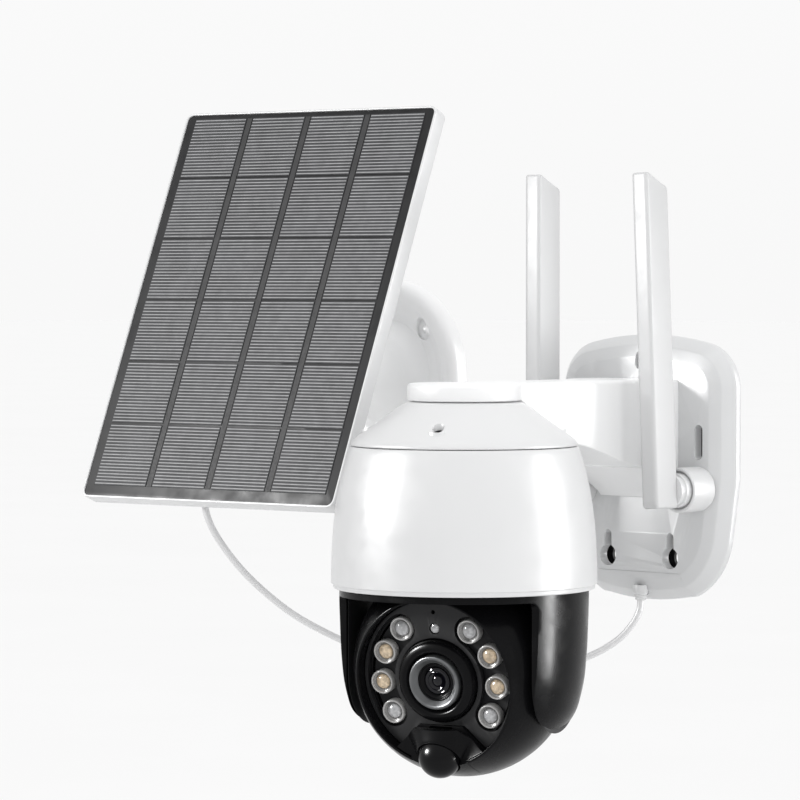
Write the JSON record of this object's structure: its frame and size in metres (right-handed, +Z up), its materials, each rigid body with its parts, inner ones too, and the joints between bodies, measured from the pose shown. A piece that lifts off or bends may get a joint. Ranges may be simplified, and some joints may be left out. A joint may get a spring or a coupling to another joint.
{
  "type": "solar-powered security camera",
  "caption": "Pan and tilt outdoor camera under a wall bracket arm, with swivelling antennas, wired to a separate tilting solar panel on its own round wall base.",
  "frame": {"origin": "centre of the camera wall plate's back face, on the wall", "axes": "the wall is the plane Y = 0 and the object stands out of it towards -Y; +Z is up; +X is to the right of somebody who faces the wall"},
  "size_m": [0.2773, 0.1747, 0.2798],
  "materials": {
    "white_shell": "satin moulded white plastic",
    "black_gloss": "glossy black plastic",
    "face_grey": "smoked dark grey plastic",
    "rubber": "matt black rubber",
    "cable_white": "white cable jacket",
    "steel": "zinc plated steel",
    "screw_dark": "black passivated steel",
    "lens_metal": "turned and satin anodised",
    "lens_glass": "coated glass",
    "lamp_clear": "clear moulded lens",
    "lamp_warm": "clear moulded lens over a warm phosphor",
    "sensor_black": "glossy black dome",
    "grey_part": "moulded grey plastic",
    "board_green": "circuit board",
    "cell_wrap": "shrink wrapped battery cell",
    "solar_cell": "laminated solar cell under clear film",
    "solar_back": "black laminate",
    "box_black": "matt black plastic"
  },
  "bodies": {
    "mount": {"wall_plate": "white_shell", "plate_gasket": "rubber", "arm": "white_shell", "arm_screws": "steel", "antenna_socket_right": "white_shell", "antenna_socket_left": "white_shell", "antenna_screws": "steel", "plate_gland": "white_shell", "dome_cap": "white_shell", "cap_gasket": "rubber", "cap_screws": "screw_dark", "dome_shell": "white_shell", "switch_board": "board_green", "chassis_plate": "steel", "chassis_screws": "steel", "main_board": "board_green", "battery_cells": "cell_wrap", "battery_cradle": "grey_part", "pan_motor": "steel", "turntable_ring": "grey_part", "panel_base": "white_shell", "panel_neck": "white_shell", "clamp_ring": "white_shell", "solar_cable_lower": "cable_white"},
    "button": {"power_button": "grey_part"},
    "head_yoke": {"yoke": "black_gloss", "pan_shaft": "steel", "tilt_shaft": "steel", "tilt_pivot": "steel"},
    "camera_ball": {"ball_front": "black_gloss", "ball_rear": "black_gloss", "ball_screws": "steel", "tilt_bushes": "white_shell", "tilt_motor": "steel", "face_plate": "face_grey", "lamp_board": "box_black", "infrared_lamps": "lamp_clear", "warm_lamps": "lamp_warm", "lens_bezel": "black_gloss", "lens_ring": "lens_metal", "lens_glass": "lens_glass", "lens_barrel": "box_black", "sensor_board": "board_green", "motion_sensor_housing": "black_gloss", "motion_sensor_dome": "sensor_black", "light_sensor": "lamp_clear"},
    "antenna_right": {"antenna_blade_right": "white_shell", "antenna_swivel_right": "white_shell"},
    "antenna_left": {"antenna_blade_left": "white_shell", "antenna_swivel_left": "white_shell"},
    "panel_swivel": {"swivel_ball": "grey_part", "cross_pin": "steel"},
    "panel": {"ball_stud": "white_shell", "panel_frame": "white_shell", "panel_back": "white_shell", "solar_substrate": "solar_back", "solar_cells": "solar_cell", "junction_box": "box_black", "panel_gland": "white_shell", "solar_cable_upper": "cable_white"}
  },
  "joints": [
    {"name": "power_button_press", "type": "slide", "parent": "mount", "child": "button", "axis": [0, -1, 0], "range_m": [0, 0.001], "stiffness_N_per_m": 400, "springref_m": -0.0005},
    {"name": "head_pan", "type": "hinge", "parent": "mount", "child": "head_yoke", "pos_m": [0, -0.12, -0.04], "axis": [0, 0, 1], "range_deg": [-187, 153]},
    {"name": "head_tilt", "type": "hinge", "parent": "head_yoke", "child": "camera_ball", "pos_m": [0, -0.12, -0.0775], "axis": [0.9563, 0.2924, 0], "range_deg": [-25, 80]},
    {"name": "antenna_right_swivel", "type": "hinge", "parent": "mount", "child": "antenna_right", "pos_m": [0.033, -0.02, -0.008], "axis": [0, 1, 0], "range_deg": [-3, 90]},
    {"name": "antenna_left_swivel", "type": "hinge", "parent": "mount", "child": "antenna_left", "pos_m": [-0.033, -0.02, -0.008], "axis": [0, -1, 0], "range_deg": [-5, 35]},
    {"name": "panel_pan", "type": "hinge", "parent": "mount", "child": "panel_swivel", "pos_m": [-0.1495, -0.069, 0.059], "axis": [0, 0, 1], "range_deg": [-30, 4], "deforming": ["solar_cable_lower"]},
    {"name": "panel_tilt", "type": "hinge", "parent": "panel_swivel", "child": "panel", "pos_m": [-0.1495, -0.069, 0.059], "axis": [0.9945, 0.1045, 0], "range_deg": [-15, 13], "deforming": ["solar_cable_upper"]}
  ]
}
